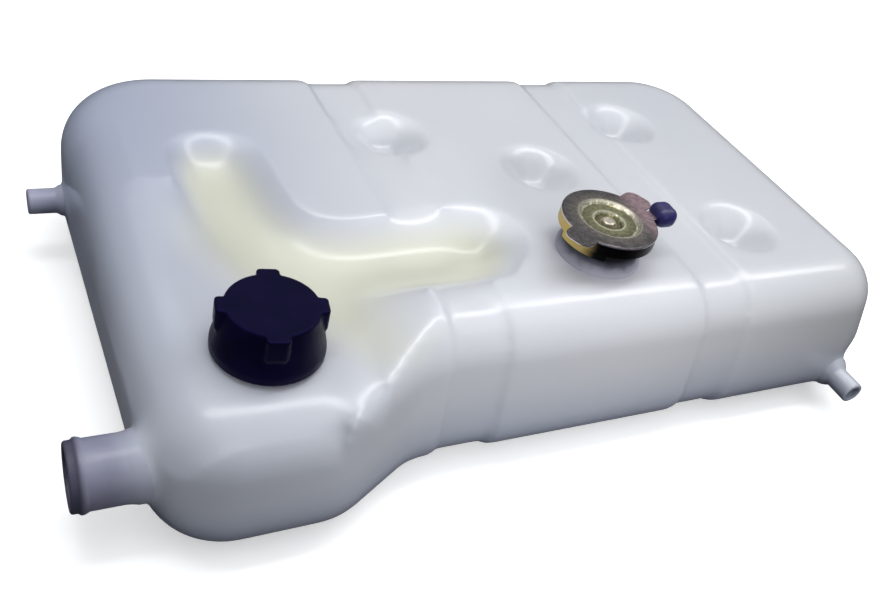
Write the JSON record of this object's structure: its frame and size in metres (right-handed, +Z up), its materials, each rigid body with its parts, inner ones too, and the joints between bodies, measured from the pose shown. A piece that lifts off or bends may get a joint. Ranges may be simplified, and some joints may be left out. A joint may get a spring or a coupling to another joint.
{
  "type": "coolant expansion tank",
  "caption": "Milky blow-moulded coolant expansion tank with dimpled top, strap recesses, a black screw filler cap and a zinc bayonet pressure cap.",
  "frame": {"origin": "on the underside of the base, below the middle of the tank's body", "axes": "+X along the tank's length to the end without hose stubs, +Y to the back wall, +Z up through the caps"},
  "size_m": [0.592, 0.364, 0.1446],
  "materials": {
    "tank_plastic": "milky natural polypropylene, slightly translucent",
    "cap_black": "moulded black with a soft sheen",
    "cap_steel": "zinc plated and yellow passivated",
    "spring_steel": "bright drawn wire and sheet",
    "valve_brass": "turned brass",
    "seal_rubber": "black sealing rubber",
    "grip_navy": "dark blue moulded grip"
  },
  "bodies": {
    "tank": {"tank_lower": "tank_plastic", "tank_upper": "tank_plastic", "filler_neck": "tank_plastic", "pressure_neck": "tank_plastic"},
    "filler_seal": {"filler_gasket": "seal_rubber"},
    "screw_cap": {"filler_cap": "cap_black"},
    "pressure_cap": {"cap_cover": "cap_steel", "locking_skirt": "cap_steel", "diaphragm_spring": "spring_steel", "rim_gasket": "seal_rubber", "cap_rivet": "cap_steel", "spring_bell": "spring_steel", "main_spring": "spring_steel", "thumb_grip": "grip_navy"},
    "pressure_valve": {"pressure_plate": "valve_brass", "main_seal": "seal_rubber", "vacuum_spring": "spring_steel"},
    "relief_disc": {"vacuum_valve": "valve_brass"}
  },
  "joints": [
    {"name": "filler_cap_rise", "type": "slide", "parent": "tank", "child": "filler_seal", "axis": [0, 0, 1], "range_m": [0, 0.0101]},
    {"name": "filler_cap_turn", "type": "hinge", "parent": "filler_seal", "child": "screw_cap", "pos_m": [-0.1955, -0.132, 0.09], "axis": [0, 0, 1], "range_deg": [0, 900]},
    {"name": "pressure_cap_turn", "type": "hinge", "parent": "tank", "child": "pressure_cap", "pos_m": [0.0375, -0.1005, 0.131], "axis": [0, 0, 1], "range_deg": [0, 90]},
    {"name": "pressure_valve_lift", "type": "slide", "parent": "pressure_cap", "child": "pressure_valve", "axis": [0, 0, 1], "range_m": [0, 0.003], "stiffness_N_per_m": 2000, "springref_m": -0.002, "deforming": ["main_spring"]},
    {"name": "vacuum_valve_open", "type": "slide", "parent": "pressure_valve", "child": "relief_disc", "axis": [0, 0, -1], "range_m": [0, 0.002], "stiffness_N_per_m": 200, "springref_m": -0.002, "deforming": ["vacuum_spring"]}
  ],
  "couplings": [
    {"joint": "filler_cap_rise", "follows": "filler_cap_turn", "m_per_rad": 0.00063662}
  ]
}
